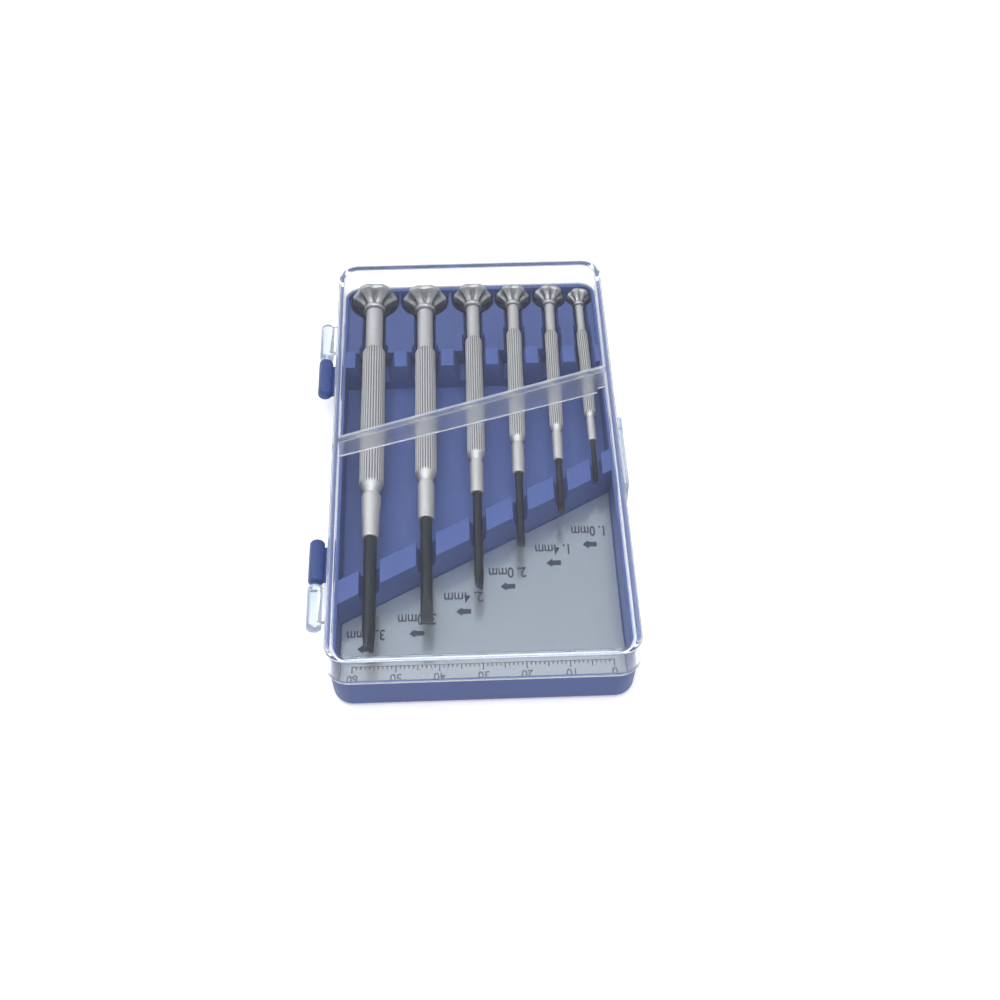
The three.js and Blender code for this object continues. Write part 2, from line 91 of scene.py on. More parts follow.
# Each screwdriver: head and blade radii, nose radii at its shoulder and its end, far and near ends of the
# fluted grip, number of flutes, and how far the head and the blade are turned about the axis, in degrees.
DRIVERS = {
    "3_8mm": dict(head=6.2, blade=1.55, nose=(2.45, 1.97), grip=(40.75, -5.6), flutes=26, turns=(4, 62)),
    "3_0mm": dict(head=5.9, blade=1.43, nose=(2.05, 1.98), grip=(40.3, -2.2), flutes=24, turns=(0, 8)),
    "2_4mm": dict(head=5.15, blade=1.12, nose=(1.65, 1.62), grip=(44.1, 3.6), flutes=22, turns=(0, 58)),
    "2_0mm": dict(head=4.45, blade=0.95, nose=(1.56, 1.53), grip=(46.7, 8.9), flutes=20, turns=(3, 25)),
    "1_4mm": dict(head=4.0, blade=0.82, nose=(1.28, 1.24), grip=(46.1, 12.3), flutes=18, turns=(14, 40)),
    "1_0mm": dict(head=3.2, blade=0.6, nose=(1.05, 1.02), grip=(46.3, 16.5), flutes=16, turns=(10, 30)),
}
NECK_TO_GRIP, WAIST_TO_GRIP, WAIST_RUN = 0.77, 0.57, 1.15
COLLAR_TO_HEAD, PIN_TO_NECK, DOME_TO_PIN, WELL_DEPTH, SCALLOP_SHARE = 0.49, 0.42, 1.9, 0.9, 0.58
GRIND_RUN, TIP_THICKNESS, RUNNING_GAP = 4.8, 0.3, 0.3

joints = {joint["name"]: joint for joint in frame["joints"]}
for size, d in DRIVERS.items():
    joint = joints[f"driver_turn_{size}"]
    handle_low, handle_high = span(f"handle_{size}")
    d["size"] = size
    d["origin"] = np.array(joint["pos_m"]) / MM
    d["axis"] = np.array(joint["axis"])
    d["grip_r"] = (handle_high[2] - handle_low[2]) / 2
    d["neck_y"], d["nose_y"] = handle_high[1], handle_low[1]
    d["tip_y"] = span(f"blade_{size}")[0][1]
    d["collar_y"], d["end_y"] = span(f"swivel_head_{size}")[0][1], span(f"swivel_head_{size}")[1][1]
    d["neck_r"] = NECK_TO_GRIP * d["grip_r"]
    d["pin_r"] = PIN_TO_NECK * d["neck_r"]


def axis_x(d, y):
    """Where a screwdriver's leaning axis passes y."""
    return d["origin"][0] + d["axis"][0] / d["axis"][1] * y


# ---- Surfaces ----
class Shape:
    """Points and faces gathered from closed grids. Each grid is turned the right way out by the sign of
    the volume that its faces enclose."""

    def __init__(self):
        self.points, self.faces, self.shades, self.count = [], [], [], 0

    def take(self, points, faces, shade):
        """Adds a closed set of faces, reversed if they enclose a negative volume. Shade is a number for each
        point: painted shade, such as how deep it lies in a groove, and on the blades wear at the tip."""
        sample = points - points.mean(0)
        volume = 0.0
        for group in faces:
            a = sample[group[:, 0]]
            for k in range(1, group.shape[1] - 1):
                volume += np.einsum("ij,ij->", a, np.cross(sample[group[:, k]], sample[group[:, k + 1]]))
        for group in faces:
            self.faces += ((group if volume > 0 else group[:, ::-1]) + self.count).tolist()
        self.points.append(points)
        self.shades.append(shade)
        self.count += len(points)

    def tube(self, rows, shade=None, ring=False):
        """A grid rows[i, j] whose columns run round and meet. The first and last rows are closed by a fan
        from their middle point, or, with ring set, joined to each other."""
        high, wide = rows.shape[:2]
        index = np.arange(high * wide).reshape(high, wide)
        beside = np.roll(index, -1, axis=1)
        points = rows.reshape(-1, 3)
        shade = np.zeros(high * wide) if shade is None else shade.ravel()
        below = np.roll(index, -1, axis=0)
        quads = np.stack([index, beside, np.roll(beside, -1, axis=0), below], -1)
        if ring:
            self.take(points, [quads.reshape(-1, 4)], shade)
            return
        middles = np.stack([rows[0].mean(0), rows[-1].mean(0)])
        start = np.stack([np.full(wide, len(points)), beside[0], index[0]], -1)
        end = np.stack([np.full(wide, len(points) + 1), index[-1], beside[-1]], -1)
        shade = np.concatenate([shade, [shade[:wide].mean(), shade[-wide:].mean()]])
        self.take(np.vstack([points, middles]), [quads[:-1].reshape(-1, 4), start, end], shade)

    def relief(self, rows, base, shade=0.0):
        """A grid rows[i, j] seen from above, closed by walls round its edge down to the height base and by
        one flat face there, all with one shade."""
        high, wide = rows.shape[:2]
        index = np.arange(high * wide).reshape(high, wide)
        edge = np.concatenate([index[0], index[1:, -1], index[-1, -2::-1], index[-2:0:-1, 0]])
        points = rows.reshape(-1, 3)
        foot = points[edge].copy()
        foot[:, 2] = base
        under = len(points) + np.arange(len(edge))
        top = np.stack([index[:-1, :-1], index[:-1, 1:], index[1:, 1:], index[1:, :-1]], -1)
        walls = np.stack([edge, under, np.roll(under, -1), np.roll(edge, -1)], -1)
        points = np.vstack([points, foot])
        self.take(points, [top.reshape(-1, 4), walls, under[None, ::-1]], np.full(len(points), shade))

    def piece(self, name, material, sharp=35):
        """The finished mesh object, in metres. Edges sharper than so many degrees stay crisp."""
        mesh = bpy.data.meshes.new(name)
        mesh.from_pydata((np.vstack(self.points) * MM).tolist(), [], self.faces)
        # The depth attribute carries painted shade in grooves, hollows and the block under the heads, and
        # wear at the blades' tips.
        shades = mesh.attributes.new("depth", "FLOAT", "POINT")
        shades.data.foreach_set("value", np.concatenate(self.shades).astype(np.float32))
        mesh.polygons.foreach_set("use_smooth", np.ones(len(mesh.polygons), bool))
        mesh.set_sharp_from_angle(angle=math.radians(sharp))
        mesh.materials.append(material)
        made = bpy.data.objects.new(name, mesh)
        bpy.context.scene.collection.objects.link(made)
        return made


def eased(corners, reach, steps=5):
    """A line through the corners, each inner one rounded: it becomes a parabola that starts and ends at reach
    from the corner, or at 45% of a shorter side."""
    corners = np.asarray(corners, float)
    s = np.linspace(0, 1, steps)[:, None]
    line = [corners[:1]]
    for before, corner, after in zip(corners, corners[1:], corners[2:]):
        back, on = before - corner, after - corner
        back *= min(reach / np.linalg.norm(back), 0.45)
        on *= min(reach / np.linalg.norm(on), 0.45)
        line.append(corner + (1 - s) ** 2 * back + s**2 * on)
    return np.vstack([*line, corners[-1:]])


def rounded_rings(half, corner, profile, middle=(0, 0), steps=16):
    """A rounded rectangle carried up a profile of (inset, height) pairs: at each pair the half sizes and the
    corner radius shrink by the inset, and each corner is a quarter circle, never smaller than the least
    radius. The corner radius before that may be one number or one for each pair."""
    least = 0.12
    inset, z = np.asarray(profile, float).T[:, :, None]
    corner = np.broadcast_to(corner, len(profile))[:, None]
    turn = np.radians(np.concatenate([q * 90 + np.linspace(0, 90, steps + 1) for q in range(4)]))[None]
    diagonal = np.radians(45 + 90 * np.repeat(np.arange(4), steps + 1))[None]
    side_x, side_y = np.sign(np.cos(diagonal)), np.sign(np.sin(diagonal))
    r = np.maximum(corner - inset, least)
    x = middle[0] + side_x * (half[0] - inset - r) + r * np.cos(turn)
    y = middle[1] + side_y * (half[1] - inset - r) + r * np.sin(turn)
    return np.stack([x, y, z + 0 * x], -1)


def block(shape, x, y, z, corner, edge):
    """A rectangular block with rounded upright corners and eased top and bottom edges."""
    half = [(x[1] - x[0]) / 2, (y[1] - y[0]) / 2]
    middle = (x[0] + x[1]) / 2, (y[0] + y[1]) / 2
    deep = min(half) * 0.45
    profile = eased([(deep, z[0]), (0, z[0]), (0, z[1]), (deep, z[1])], edge)
    shape.tube(rounded_rings(half, corner, profile, middle, steps=4))


def turned(profile, axis_at, sides):
    """A profile of (y, radius) pairs turned about a line along Y that passes the point axis_at = (x, z)."""
    y, r = np.asarray(profile, float).T[:, :, None]
    angle = np.linspace(0, 2 * np.pi, sides, endpoint=False)[None]
    return np.stack([axis_at[0] + r * np.cos(angle), y + 0 * angle, axis_at[1] - r * np.sin(angle)], -1)


def along_axis(d, y, radius, angle):
    """Points at distance y along a screwdriver's leaning axis, and at a radius and an angle about it."""
    side = np.array([d["axis"][1], -d["axis"][0], 0])
    out = np.cos(angle)[..., None] * side - np.sin(angle)[..., None] * np.array([0, 0, 1])
    return d["origin"] + (y / d["axis"][1])[..., None] * d["axis"] + radius[..., None] * out


def soft_least(a, b, blend=0.09):
    """The lesser of two heights with the crease between them rounded: minus blend times the logarithm of the
    sum of both falling exponentials."""
    return -blend * np.logaddexp(-a / blend, -b / blend)


# ---- Shader expressions ----
class Wire:
    """A shader value. Arithmetic on wires and numbers adds Math nodes."""

    def __init__(self, finish, socket):
        self.finish, self.socket = finish, socket

    def _math(self, operation, first, second):
        return self.finish.node("Math", {"operation": operation}, {0: first, 1: second})

    def __add__(self, other):
        return self._math("ADD", self, other)

    def __mul__(self, other):
        return self._math("MULTIPLY", self, other)

    def __sub__(self, other):
        return self._math("SUBTRACT", self, other)

    def __rsub__(self, other):
        return self._math("SUBTRACT", other, self)

    def __pow__(self, other):
        return self._math("POWER", self, other)

    def __abs__(self):
        return self._math("ABSOLUTE", self, 0)

    __radd__, __rmul__ = __add__, __mul__

    def most(self, other):
        return self._math("MAXIMUM", self, other)

    def clamp(self, low, high):
        """The value mapped from low..high to 0..1 and held there."""
        limits = {"Value": self, "From Min": low, "From Max": high}
        return self.finish.node("MapRange", {"clamp": True}, limits)


class Finish:
    """A material, or the world, and its nodes."""

    def __init__(self, name, holder=None):
        self.holder = holder or bpy.data.materials.new(name)
        self.holder.use_nodes = True
        self.tree = self.holder.node_tree
        self.tree.nodes.clear()

    def node(self, kind, settings=None, sockets=None, out=0):
        """A node of this kind: its settings first, then its sockets' values or links. Gives the wire of one
        output, or nothing from a node that has none."""
        made = self.tree.nodes.new("ShaderNode" + kind)
        for name, value in (settings or {}).items():
            setattr(made, name, value)
        for name, value in (sockets or {}).items():
            if isinstance(value, Wire):
                self.tree.links.new(value.socket, made.inputs[name])
            else:
                made.inputs[name].default_value = value
        return Wire(self, made.outputs[out]) if len(made.outputs) else None

    def object_point(self, stretch):
        """Object coordinates, stretched along each axis."""
        place = self.node("TexCoord", out="Object")
        return self.node("Mapping", {}, {"Vector": place, "Scale": stretch})

    def place(self):
        """Object coordinates as three wires, in millimetres."""
        split = self.node("SeparateXYZ", {}, {"Vector": self.node("TexCoord", out="Object")})
        outputs = split.socket.node.outputs
        return [Wire(self, outputs[i]) * (1 / MM) for i in range(3)]

    def noise(self, scale, stretch=(1, 1, 1), detail=3.0, rough=0.5):
        """Smooth noise from 0 to 1 that repeats about scale times a metre along an axis stretched by 1."""
        values = {"Vector": self.object_point(stretch), "Scale": scale, "Detail": detail, "Roughness": rough}
        return self.node("TexNoise", {}, values)

    def blend(self, share, first, second):
        """A colour between two colours."""
        mix = {"data_type": "RGBA", "clamp_factor": True}
        return self.node("Mix", mix, {0: share, 6: first, 7: second}, out=2)

    def bump(self, height, depth):
        """A normal for a relief of this height from 0 to 1, so many metres deep."""
        return self.node("Bump", {}, {"Height": height, "Distance": depth, "Strength": 1.0})

    def shade(self, **sockets):
        """A Principled shader with these sockets, where underscores stand for spaces."""
        return self.node("BsdfPrincipled", {}, {name.replace("_", " "): v for name, v in sockets.items()})

    def done(self, shader, output="OutputMaterial"):
        """The material or the world, with this shader as its surface."""
        self.node(output, {}, {"Surface": shader})
        return self.holder


def moulded_blue():
    """Satin moulded plastic: a faint cloud in the colour, rub marks along the screwdrivers and a fine grain.
    The depth attribute paints shade on the block under the heads, darkening it."""
    f = Finish("moulded_blue")
    cloud = f.noise(90, detail=2)
    rubs = f.noise(1500, stretch=(1, 0.06, 0.4), detail=2).clamp(0.55, 0.8)
    grain = f.noise(9000, detail=1)
    depth = f.node("Attribute", {"attribute_name": "depth"}, out="Fac")
    colour = f.blend(cloud, (0.049, 0.081, 0.24, 1), (0.057, 0.093, 0.27, 1))
    colour = f.blend(rubs * 0.16, colour, (0.12, 0.16, 0.34, 1))
    # Painted shade: where the depth attribute is set, on the block under the heads, the blue goes darker.
    colour = f.blend(depth, colour, (0.03, 0.048, 0.14, 1))
    return f.done(f.shade(Base_Color=colour, Roughness=0.4 + 0.1 * rubs + 0.06 * cloud,
                          Normal=f.bump(grain, 6e-6), IOR=1.45))


def clear_plastic(name, roughness, tint, haze_and_highlight_of):
    """Clear moulded plastic that bends what is seen through it and lets lamps reach what it covers. The last
    argument gives how much of a whitish diffuse layer is mixed in at each place, from 0 to 1: the plastic's
    own haze, and along the lid's top edges and the hold-down rib's root a painted highlight."""
    f = Finish(name)
    swirl = f.noise(60, detail=1)
    glass = f.shade(Base_Color=tint, Transmission_Weight=1.0, IOR=1.45, Roughness=roughness,
                    Normal=f.bump(swirl, 3e-5))
    # A whitish diffuse layer: the plastic's haze, and where the lid's edges and the rib's root are whitened,
    # a painted highlight.
    milk_and_painted_highlight = f.shade(Base_Color=(0.8, 0.85, 0.93, 1), Roughness=0.3)
    body = f.node("MixShader", {}, {0: haze_and_highlight_of(f), 1: glass, 2: milk_and_painted_highlight})
    open_air = f.node("BsdfTransparent", {}, {"Color": (0.95, 0.96, 0.98, 1)})
    lamp = f.node("LightPath", out="Is Shadow Ray")
    return f.done(f.node("MixShader", {}, {0: lamp, 1: body, 2: open_air}))


def edge_haze(f):
    """Milkiness of the lid's shell: most along its far top edge, some round the rest of its top edge, a
    little in its side and far walls, and none in its near wall and its top. Along the top edge it is a
    painted highlight, whitening the edge that light carried through the clear plastic brightens. How far a
    place lies inside the outline is the corner radius less its distance from the corner's centre."""
    x, y, z = f.place()
    past_x = (abs(x) - (LID_HALF[0] - LID_CORNER)).most(0)
    past_y = (abs(y) - (LID_HALF[1] - LID_CORNER)).most(0)
    inside = LID_CORNER - (past_x * past_x + past_y * past_y) ** 0.5
    wall = 1 - inside.clamp(1.0, 1.5)
    near = 1 - (y + LID_HALF[1]).clamp(1.6, 3.2)
    far = y.clamp(LID_HALF[1] - 2, LID_HALF[1] - 1)
    edge = z.clamp(LID_TOP - 1.2, LID_TOP - 0.4)
    # Painted highlight: the top edge, most of all the far one, is whitened.
    return wall * (0.04 * (1 - near) + edge * (0.12 + 0.8 * far))


def rib_haze(f):
    """Milky a little in the hold-down rib's blade, and much more at its root, where the whitening is a
    painted highlight along the root's line.
    """
    _, _, z = f.place()
    return 0.05 + 0.5 * z.clamp(LID_TOP - 2.1, LID_TOP - 1.6)


def even_haze(f):
    """The same milkiness all over, with a faint cloud."""
    return 0.14 + 0.1 * f.noise(400, detail=1)


def nickel_plate(name, bright, roughness, mark_scale):
    """Dull nickel plate on turned brass: turning marks round the axis and mottled tarnish. The depth
    attribute paints shade into the grip's grooves and the head's hollows."""
    f = Finish(name)
    marks = f.noise(mark_scale, stretch=(0.02, 1, 0.02), detail=4, rough=0.7)
    mottle = f.noise(900, detail=5, rough=0.65)
    specks = f.noise(3200, detail=2).clamp(0.62, 0.74)
    depth = f.node("Attribute", {"attribute_name": "depth"}, out="Fac")
    dark = tuple(0.6 * c for c in bright)
    warm = (bright[0] * 0.98, bright[1] * 0.95, bright[2] * 0.9)
    colour = f.blend(mottle.clamp(0.35, 0.7), (*bright, 1), (*warm, 1))
    colour = f.blend(specks * 0.3, colour, (*dark, 1))
    # Painted shade: the depth attribute takes grooves and hollows towards near black.
    colour = f.blend(depth.clamp(0.1, 0.9) * 0.85, colour, (0.12, 0.12, 0.125, 1))
    rough = roughness + 0.16 * mottle + 0.15 * depth
    return f.done(f.shade(Base_Color=colour, Metallic=1.0, Roughness=rough,
                          Normal=f.bump(marks * 0.7 + mottle * 0.3, 1.2e-5)))


def black_oxide():
    """Blued-black oxide on hardened steel: fine grinding lines across the bar and worn paler patches."""
    f = Finish("black_oxide")
    lines = f.noise(5200, stretch=(0.05, 1, 0.05))
    worn = f.noise(700, detail=4, rough=0.6).clamp(0.55, 0.8)
    depth = f.node("Attribute", {"attribute_name": "depth"}, out="Fac")
    colour = f.blend(worn * 0.5, (0.018, 0.024, 0.032, 1), (0.05, 0.06, 0.072, 1))
    colour = f.blend(depth * 0.5, colour, (0.1, 0.11, 0.125, 1))
    return f.done(f.shade(Base_Color=colour, Metallic=0.6, Roughness=0.46 + 0.14 * worn,
                          Normal=f.bump(lines, 8e-6)))


def bright_steel():
    """Bright turned steel with fine rings."""
    f = Finish("bright_steel")
    rings = f.noise(6000, stretch=(1, 0.05, 1), detail=2)
    colour = f.blend(rings, (0.5, 0.5, 0.51, 1), (0.66, 0.66, 0.67, 1))
    return f.done(f.shade(Base_Color=colour, Metallic=1.0, Roughness=0.26 + 0.1 * rings))


def silver_card():
    """Silvered card: a fine fibre, a little longer along the case, and a faint cloud."""
    f = Finish("silver_card")
    fibre = f.noise(4200, stretch=(1, 0.45, 1))
    cloud = f.noise(45, detail=2)
    colour = f.blend(fibre.clamp(0.3, 0.7), (0.46, 0.525, 0.575, 1), (0.52, 0.58, 0.63, 1))
    colour = f.blend(cloud * 0.3, colour, (0.56, 0.6, 0.64, 1))
    return f.done(f.shade(Base_Color=colour, Metallic=0.82, Roughness=0.2 + 0.08 * fibre,
                          Normal=f.bump(fibre, 2e-6)))


def print_ink():
    """Dark blue-grey ink, a little thin in places."""
    f = Finish("print_ink")
    thin = f.noise(2500).clamp(0.45, 0.75)
    colour = f.blend(thin * 0.35, (0.022, 0.025, 0.05, 1), (0.08, 0.09, 0.13, 1))
    return f.done(f.shade(Base_Color=colour, Roughness=0.55 + 0.1 * thin))


BLUE = moulded_blue()
CLEAR = clear_plastic("clear_plastic", 0.015, (0.94, 0.955, 0.985, 1), edge_haze)
FROSTED = clear_plastic("frosted_plastic", 0.27, (0.96, 0.97, 1.0, 1), rib_haze)
MILKY = clear_plastic("milky_plastic", 0.1, (0.7, 0.78, 0.88, 1), even_haze)
NICKEL = nickel_plate("nickel_handle", (0.59, 0.586, 0.58), 0.53, 2600)
HEAD_NICKEL = nickel_plate("nickel_head", (0.53, 0.535, 0.53), 0.4, 1800)
OXIDE = black_oxide()
STEEL = bright_steel()
CARD = silver_card()
INK = print_ink()


def finish_piece(piece, body, slot, *nodes):
    """Names the body that a piece moves with and the nodes of the design it stands for. Its material slot is
    not used.
    """
    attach(piece, body)
    if nodes:
        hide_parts(*nodes)


# ---- Tray ----
def tray_shell(shape):
    """The open tray: its section runs from under the floor, round the foot and up the drafted wall, over the
    rim and down to the floor with a fillet, carried round a rounded rectangle. Past the lap a flat fan closes
    the floor and the underside."""
    foot, inner, lap, lip = TRAY_DRAFT, TRAY_WALL, 7, RIM - 1
    foot_ease, rim_ease, floor_ease = 0.8, 0.22, 0.7
    outside = eased([(foot + lap, 0), (foot + TRAY_EDGE, 0), (foot, TRAY_EDGE), (0, RIM)], foot_ease)
    rim = eased([(0, lip), (0, RIM), (inner, RIM), (inner, lip)], rim_ease)
    inside = eased([(inner, lip), (inner, TRAY_FLOOR), (inner + lap, TRAY_FLOOR)], floor_ease)
    profile = np.vstack([outside[:-1], rim[1:-1], inside])
    across_rim = np.clip(profile[:, 0] / inner, 0, 1) * (np.arange(len(profile)) >= len(outside) - 1)
    corner = TRAY_CORNER + across_rim * (WELL_CORNER + inner - TRAY_CORNER)
    shape.tube(rounded_rings(TRAY_HALF, corner, profile))


def scoop_block(shape):
    """The block under the heads, as heights over a grid whose far corners are round. Under each head the
    height falls to the lower half of a round ended cylinder, and a half-round channel leads from it, narrowed
    past the grip to clear the neck. Both are widened above the axis by a steep slope, and the lesser of all
    the heights is taken with its creases rounded."""
    # The block's points get a painted shade of 0.5 in the depth attribute, which darkens its blue.
    step, wall_slope, shade, narrowing = 0.19, 4.0, 0.5, 0.8
    half, far, corner = WELL_HALF[0] + BITE, WELL_HALF[1] + BITE, WELL_CORNER + BITE
    u = np.linspace(-half, half, round(2 * half / step))[None]
    y = np.linspace(BLOCK_NEAR, far, round((WELL_HALF[1] - BLOCK_NEAR) / step))[:, None]
    past = np.maximum(y - (far - corner), 0)
    x = u * (half - corner + np.sqrt(corner**2 - past**2)) / half
    z = np.full(x.shape, BLOCK_TOP)
    for d in DRIVERS.values():
        scoop_x, channel_x = axis_x(d, SCOOP_Y), axis_x(d, (BLOCK_NEAR + SCOOP_Y) / 2)
        round_end = np.hypot(x - scoop_x, np.maximum(SCOOP_Y - y, 0))
        past_grip = np.clip((y - d["grip"][0] - narrowing) / narrowing, 0, 1)
        held = d["grip_r"] + past_grip * (d["neck_r"] - d["grip_r"])
        for away, r in ((round_end, d["head"] + SCOOP_CLEARANCE),
                        (abs(x - channel_x), held + CHANNEL_CLEARANCE)):
            bowl = -np.sqrt(np.maximum(r**2 - away**2, 0)) + wall_slope * np.maximum(away - r, 0)
            z = soft_least(z, d["origin"][2] + bowl)
    shape.relief(np.stack([x, y + 0 * x, np.maximum(z, SIDE_FOOT)], -1), BED, shade)


def post_row(shape):
    """The row of posts between the handles: one line across the tray, up over each post and down its sloping
    sides to the slots' floor, carried along Y under an eased near edge."""
    run, ease = SLOT_SLOPE * (RIM - SLOT_FLOOR), 0.3
    edges = [END_POSTS_X[0], *np.add.outer(POSTS_X, (-POST_HALF, POST_HALF)).ravel(), END_POSTS_X[1]]
    wall = WELL_HALF[0] + BITE
    corners = [(-wall, RIM)]
    for left, right in zip(edges[::2], edges[1::2]):
        corners += [(left, RIM), (left + run, SLOT_FLOOR), (right - run, SLOT_FLOOR), (right, RIM)]
    crest = eased([*corners, (wall, RIM)], ease)
    near, far = POST_ROW
    side = eased([(near, SIDE_FOOT), (near, RIM), (far, RIM), (far, SIDE_FOOT)], ease)
    x, y = crest[None, :, 0], side[:, None, 0]
    height = np.minimum(crest[None, :, 1], side[:, None, 1])
    shape.relief(np.stack([x + 0 * y, y + 0 * x, height], -1), BED)


def rest_rib(shape):
    """The slanting rib under the blades: a line across the tray that dips into a half-round notch at each
    blade, carried across the rib's width under eased edges, and sheared along the slant."""
    wall, lip_run, lip_ease, edge_ease = WELL_HALF[0] + BITE, 0.8, 0.3, 0.35
    line = [np.array([(-wall, RIM)])]
    for d in DRIVERS.values():
        middle = axis_x(d, REST_MIDDLE + REST_SLOPE * d["origin"][0])
        r, z = d["blade"] + NOTCH_CLEARANCE, d["origin"][2]
        angle = np.radians(np.linspace(180, 360, 19))
        arc = np.stack([middle + r * np.cos(angle), z + r * np.sin(angle)], -1)
        lip = eased([(middle + r + lip_run, RIM), (middle + r + 0.05, RIM), (middle + r, z + 0.2)], lip_ease)
        line += [(lip * [-1, 1] + [2 * middle, 0]), arc, lip[::-1]]
    crest = np.vstack([*line, [(wall, RIM)]])
    half = REST_HALF
    side = eased([(-half, SIDE_FOOT), (-half, RIM), (half, RIM), (half, SIDE_FOOT)], edge_ease)
    x, across = crest[None, :, 0], side[:, None, 0]
    y = REST_MIDDLE + REST_SLOPE * x + across
    height = np.minimum(crest[None, :, 1], side[:, None, 1])
    shape.relief(np.stack([x + 0 * y, y, height], -1), BED)


def knuckle(shape, side, span_y):
    """A hinge barrel with domed ends: a quarter ellipse at each end of a straight bar."""
    angle = np.radians(np.linspace(3, 90, 9))
    inwards, r = HINGE_DOME * (1 - np.cos(angle)), HINGE_R * np.sin(angle)
    y = np.concatenate([span_y[0] + inwards, (span_y[1] - inwards)[::-1]])
    profile = np.stack([side * y, np.concatenate([r, r[::-1]])], -1)
    shape.tube(turned(profile, (HINGE_X, RIM), 40))


def web(shape, side, span_y, wall_x, heights):
    """The block that joins a hinge barrel to the wall at wall_x."""
    y = sorted(side * (v + shift) for v, shift in zip(span_y, (WEB_SHORTER, -WEB_SHORTER)))
    block(shape, (HINGE_X + WEB_FROM_AXIS, wall_x + WEB_IN_WALL), y, heights, 0.4, 0.3)


def make_tray():
    shape = Shape()
    tray_shell(shape)
    scoop_block(shape)
    post_row(shape)
    rest_rib(shape)
    block(shape, CATCH_X, (-CATCH_HALF, CATCH_HALF), CATCH_Z, 0.3, 0.3)
    for side in (1, -1):
        knuckle(shape, side, TRAY_KNUCKLE)
        web(shape, side, TRAY_KNUCKLE, -TRAY_HALF[0], (RIM - 1.7, RIM - 0.3))
    finish_piece(shape.piece("tray_moulding", BLUE, 40), "case", "blue_plastic", "tray")


# ---- Lid ----
def lid_shell(shape):
    """The clear lid: its section runs from the top over a rounded edge, down the drafted wall, across the rim
    and back up inside to the ceiling, carried round a rounded rectangle. Past the lap a flat fan closes the
    top and the ceiling."""
    wall, draft, lap = LID_WALL, LID_DRAFT, 8
    crown, ceiling, lip = LID_TOP - LID_EDGE, LID_TOP - wall, LID_RIM + 0.8
    top_ease, rim_ease, ceiling_ease = LID_EDGE, 0.2, 0.7
    outside = eased([(draft + lap, LID_TOP), (draft, LID_TOP), (draft, crown), (0, lip)], top_ease, 8)
    rim = eased([(0, lip), (0, LID_RIM), (wall, LID_RIM), (wall, lip)], rim_ease)
    inside = eased([(wall, lip), (wall + draft, ceiling), (wall + draft + lap, ceiling)], ceiling_ease, 6)
    profile = np.vstack([outside[:-1], rim[1:-1], inside])
    shape.tube(rounded_rings(LID_HALF, LID_CORNER, profile))


def hold_rib(shape):
    """The slanting rib that hangs from the lid over the grips. Its section, a plate that two slopes widen on
    each face where it joins the lid, is carried along the slant, while its lower edge falls in a straight
    line and steps up near the right wall."""
    left, ease = -LID_HALF[0] + 0.6, 0.18
    step_x, step_z, steps = 31.6, 11.6, 24
    x = np.concatenate([np.linspace(left, step_x, steps), [step_x + 0.12, step_x + 0.5, -left]])
    edge = HOLD_LEFT_Z - HOLD_FALL * (x + WELL_HALF[0] + 0.8)
    edge[steps:] = (step_z - 0.15, step_z, step_z)
    # The section as (across, height), where no height means the lower edge.
    ceiling = LID_TOP - LID_WALL
    near = [(-0.55, LID_TOP - 0.5), (-0.5, ceiling), (-0.17, ceiling - 0.25), (0, ceiling - 0.65),
            (0, ceiling - 0.72)]
    section = [*near, (0, None), (ease, None), (HOLD_THICK - ease, None), (HOLD_THICK, None),
               *((HOLD_THICK - across, height) for across, height in near[::-1])]
    loop = []
    for across, height in section:
        y = HOLD_LEFT + HOLD_SLOPE * (x + WELL_HALF[0]) + across
        lip = ease if across in (0, HOLD_THICK) else 0
        loop.append(np.stack([x, y, edge + lip if height is None else np.full(len(x), height)], -1))
    shape.tube(np.stack(loop, 1))


def clear_union(base, parts):
    """The base with each part fused to it, so that light crosses no wall between them."""
    for part in parts:
        fuse = base.modifiers.new("fuse", "BOOLEAN")
        fuse.operation, fuse.solver, fuse.object = "UNION", "EXACT", part
        fuse.material_mode = "TRANSFER"
    view = bpy.context.evaluated_depsgraph_get()
    mesh = bpy.data.meshes.new_from_object(base.evaluated_get(view), depsgraph=view)
    base.modifiers.clear()
    base.data = mesh
    for part in parts:
        bpy.data.objects.remove(part)
    mesh.set_sharp_from_angle(angle=math.radians(30))
    return base


def hinge_stub(shape, side):
    """The straight pin that runs from a lid barrel into the tray's barrel beside it."""
    ends = (STUB_END, LID_KNUCKLE[0] + 2)
    shape.tube(turned([(side * y, STUB_R) for y in ends], (HINGE_X, RIM), 24))


def make_lid():
    def part(name, material, build, *values):
        shape = Shape()
        build(shape, *values)
        return shape.piece(name, material)

    parts = [
        part("rib_part", FROSTED, hold_rib),
        part("latch_part", MILKY, block, LATCH_X, (-LATCH_HALF, LATCH_HALF), LATCH_Z, 0.4, 0.35),
        part("root_part", CLEAR, block, (LID_HALF[0] - 0.8, LATCH_X[0] + BITE),
             (-LATCH_HALF + 0.4, LATCH_HALF - 0.4), (LID_RIM + 0.12, LATCH_Z[1] - 0.3), 0.15, 0.1),
        part("hook_part", CLEAR, block, (CATCH_X[1] + RUNNING_GAP, LATCH_X[0] + BITE),
             (-CATCH_HALF, CATCH_HALF), (LATCH_Z[0] + 0.1, CATCH_Z[0] - RUNNING_GAP), 0.15, 0.2),
    ]
    for side in (1, -1):
        parts += [
            part("barrel_part", MILKY, knuckle, side, LID_KNUCKLE),
            part("web_part", CLEAR, web, side, LID_KNUCKLE, -LID_HALF[0], (LID_RIM + 0.15, RIM + 1.7)),
            part("stub_part", CLEAR, hinge_stub, side),
        ]
    lid = clear_union(part("lid_moulding", CLEAR, lid_shell), parts)
    finish_piece(lid, "lid", "clear_plastic", "lid")


